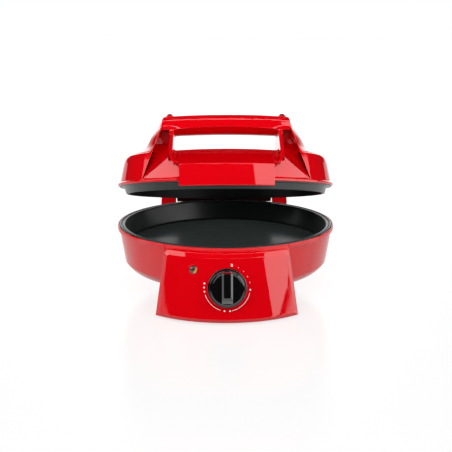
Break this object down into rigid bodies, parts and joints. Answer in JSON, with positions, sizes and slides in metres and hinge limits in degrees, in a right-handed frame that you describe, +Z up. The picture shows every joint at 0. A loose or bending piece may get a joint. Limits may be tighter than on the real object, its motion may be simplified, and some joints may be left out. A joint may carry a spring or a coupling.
{
  "type": "electric pizza maker",
  "caption": "Round countertop pizza maker with two black plates, a hinged red lid with a bridge handle, and a sloping front panel with a knob and a lamp.",
  "frame": {"origin": "middle of the footprint at table level, under the body", "axes": "+Z up; -Y towards the user and the control panel; X runs left to right across the front"},
  "size_m": [0.3214, 0.415, 0.269],
  "materials": {
    "red_abs": "glossy red ABS, moulded",
    "black_abs": "black moulded plastic, satin",
    "non_stick_aluminium": "cast aluminium with a black non-stick coating",
    "sheet_steel": "zinc-plated sheet steel",
    "heater_tube": "heat-tinted stainless heater tube",
    "foot_rubber": "matte rubber",
    "amber_lens": "clear amber plastic",
    "ceramic": "unglazed white ceramic",
    "knob_black": "glossy black plastic",
    "lead_sleeve": "black silicone sleeve"
  },
  "bodies": {
    "base": {"base_shell": "red_abs", "control_panel": "red_abs", "indicator_bezel": "red_abs", "rear_housing": "red_abs", "housing_cover": "black_abs", "cord_inlet": "black_abs", "lower_pan": "non_stick_aluminium", "bottom_cover": "sheet_steel", "thermostat_bracket": "sheet_steel", "hinge_pin_left": "sheet_steel", "hinge_pin_right": "sheet_steel", "lower_reflector": "sheet_steel", "lower_pan_screw_1": "sheet_steel", "lower_pan_screw_2": "sheet_steel", "lower_pan_screw_3": "sheet_steel", "lower_element_clip_1": "sheet_steel", "lower_element_clip_2": "sheet_steel", "lower_element_clip_3": "sheet_steel", "lower_heating_element": "heater_tube", "foot_front_left": "foot_rubber", "foot_front_right": "foot_rubber", "foot_rear_left": "foot_rubber", "foot_rear_right": "foot_rubber", "indicator_lens": "amber_lens", "thermostat": "ceramic", "indicator_lamp": "ceramic", "terminal_block": "ceramic", "thermal_fuse": "ceramic", "knob_surround": "knob_black", "element_lead_left": "lead_sleeve", "element_lead_right": "lead_sleeve"},
    "lid": {"hinge_arm": "black_abs", "lid_shell": "red_abs", "handle_cap": "red_abs", "front_tongue": "red_abs", "upper_plate": "non_stick_aluminium", "upper_reflector": "sheet_steel", "upper_heating_element": "heater_tube", "handle_foot_left": "foot_rubber", "handle_foot_right": "foot_rubber", "upper_plate_screw_1": "sheet_steel", "upper_plate_screw_2": "sheet_steel", "upper_plate_screw_3": "sheet_steel", "upper_element_clip_1": "sheet_steel", "upper_element_clip_2": "sheet_steel", "upper_element_clip_3": "sheet_steel"},
    "knob": {"knob": "knob_black", "thermostat_shaft": "sheet_steel"}
  },
  "joints": [
    {"name": "lid_hinge", "type": "hinge", "parent": "base", "child": "lid", "pos_m": [0, 0.1935, 0.102], "axis": [-1, 0, 0], "range_deg": [-14.4, 165]},
    {"name": "knob_turn", "type": "hinge", "parent": "base", "child": "knob", "pos_m": [0, -0.18325, 0.0508], "axis": [0, 0.9773, -0.2118], "range_deg": [0, 270]}
  ]
}
